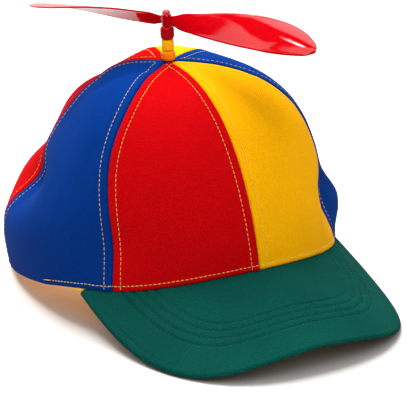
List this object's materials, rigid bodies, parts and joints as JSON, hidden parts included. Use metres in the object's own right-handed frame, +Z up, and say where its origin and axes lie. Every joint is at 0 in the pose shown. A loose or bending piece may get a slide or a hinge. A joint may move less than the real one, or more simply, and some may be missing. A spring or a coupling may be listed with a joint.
{
  "type": "propeller beanie",
  "caption": "Six-panel cloth cap in red, yellow and blue with a curved green peak and a spinning two-bladed propeller on a beaded pin.",
  "frame": {"origin": "middle of the whole cap's box, on the surface that it rests on", "axes": "the peak points along -Y, the wearer's left is +X, and +Z is up"},
  "size_m": [0.174, 0.249, 0.1475],
  "materials": {
    "red_cloth": "woven cotton twill",
    "yellow_cloth": "woven cotton twill",
    "blue_cloth": "woven cotton twill",
    "green_cloth": "woven cotton twill",
    "band_cloth": "plain woven tape",
    "red_plastic": "glossy, lets some light through",
    "yellow_plastic": "glossy, lets some light through",
    "orange_plastic": "glossy, lets some light through",
    "pink_plastic": "glossy, nearly clear"
  },
  "bodies": {
    "cap": {"front_panel_right": "red_cloth", "front_panel_left": "yellow_cloth", "side_panel_right": "blue_cloth", "side_panel_left": "blue_cloth", "back_panel_right": "red_cloth", "back_panel_left": "yellow_cloth", "peak": "green_cloth", "inner_band": "band_cloth", "orange_bead": "orange_plastic", "yellow_tube": "yellow_plastic", "red_bead": "red_plastic", "spindle": "pink_plastic"},
    "spinner": {"propeller": "red_plastic"}
  },
  "joints": [
    {"name": "propeller_spin", "type": "hinge", "parent": "cap", "child": "spinner", "pos_m": [-0.00177, 0.0287, 0.13718], "axis": [-0.0279, 0.0349, 0.999], "continuous": true}
  ]
}
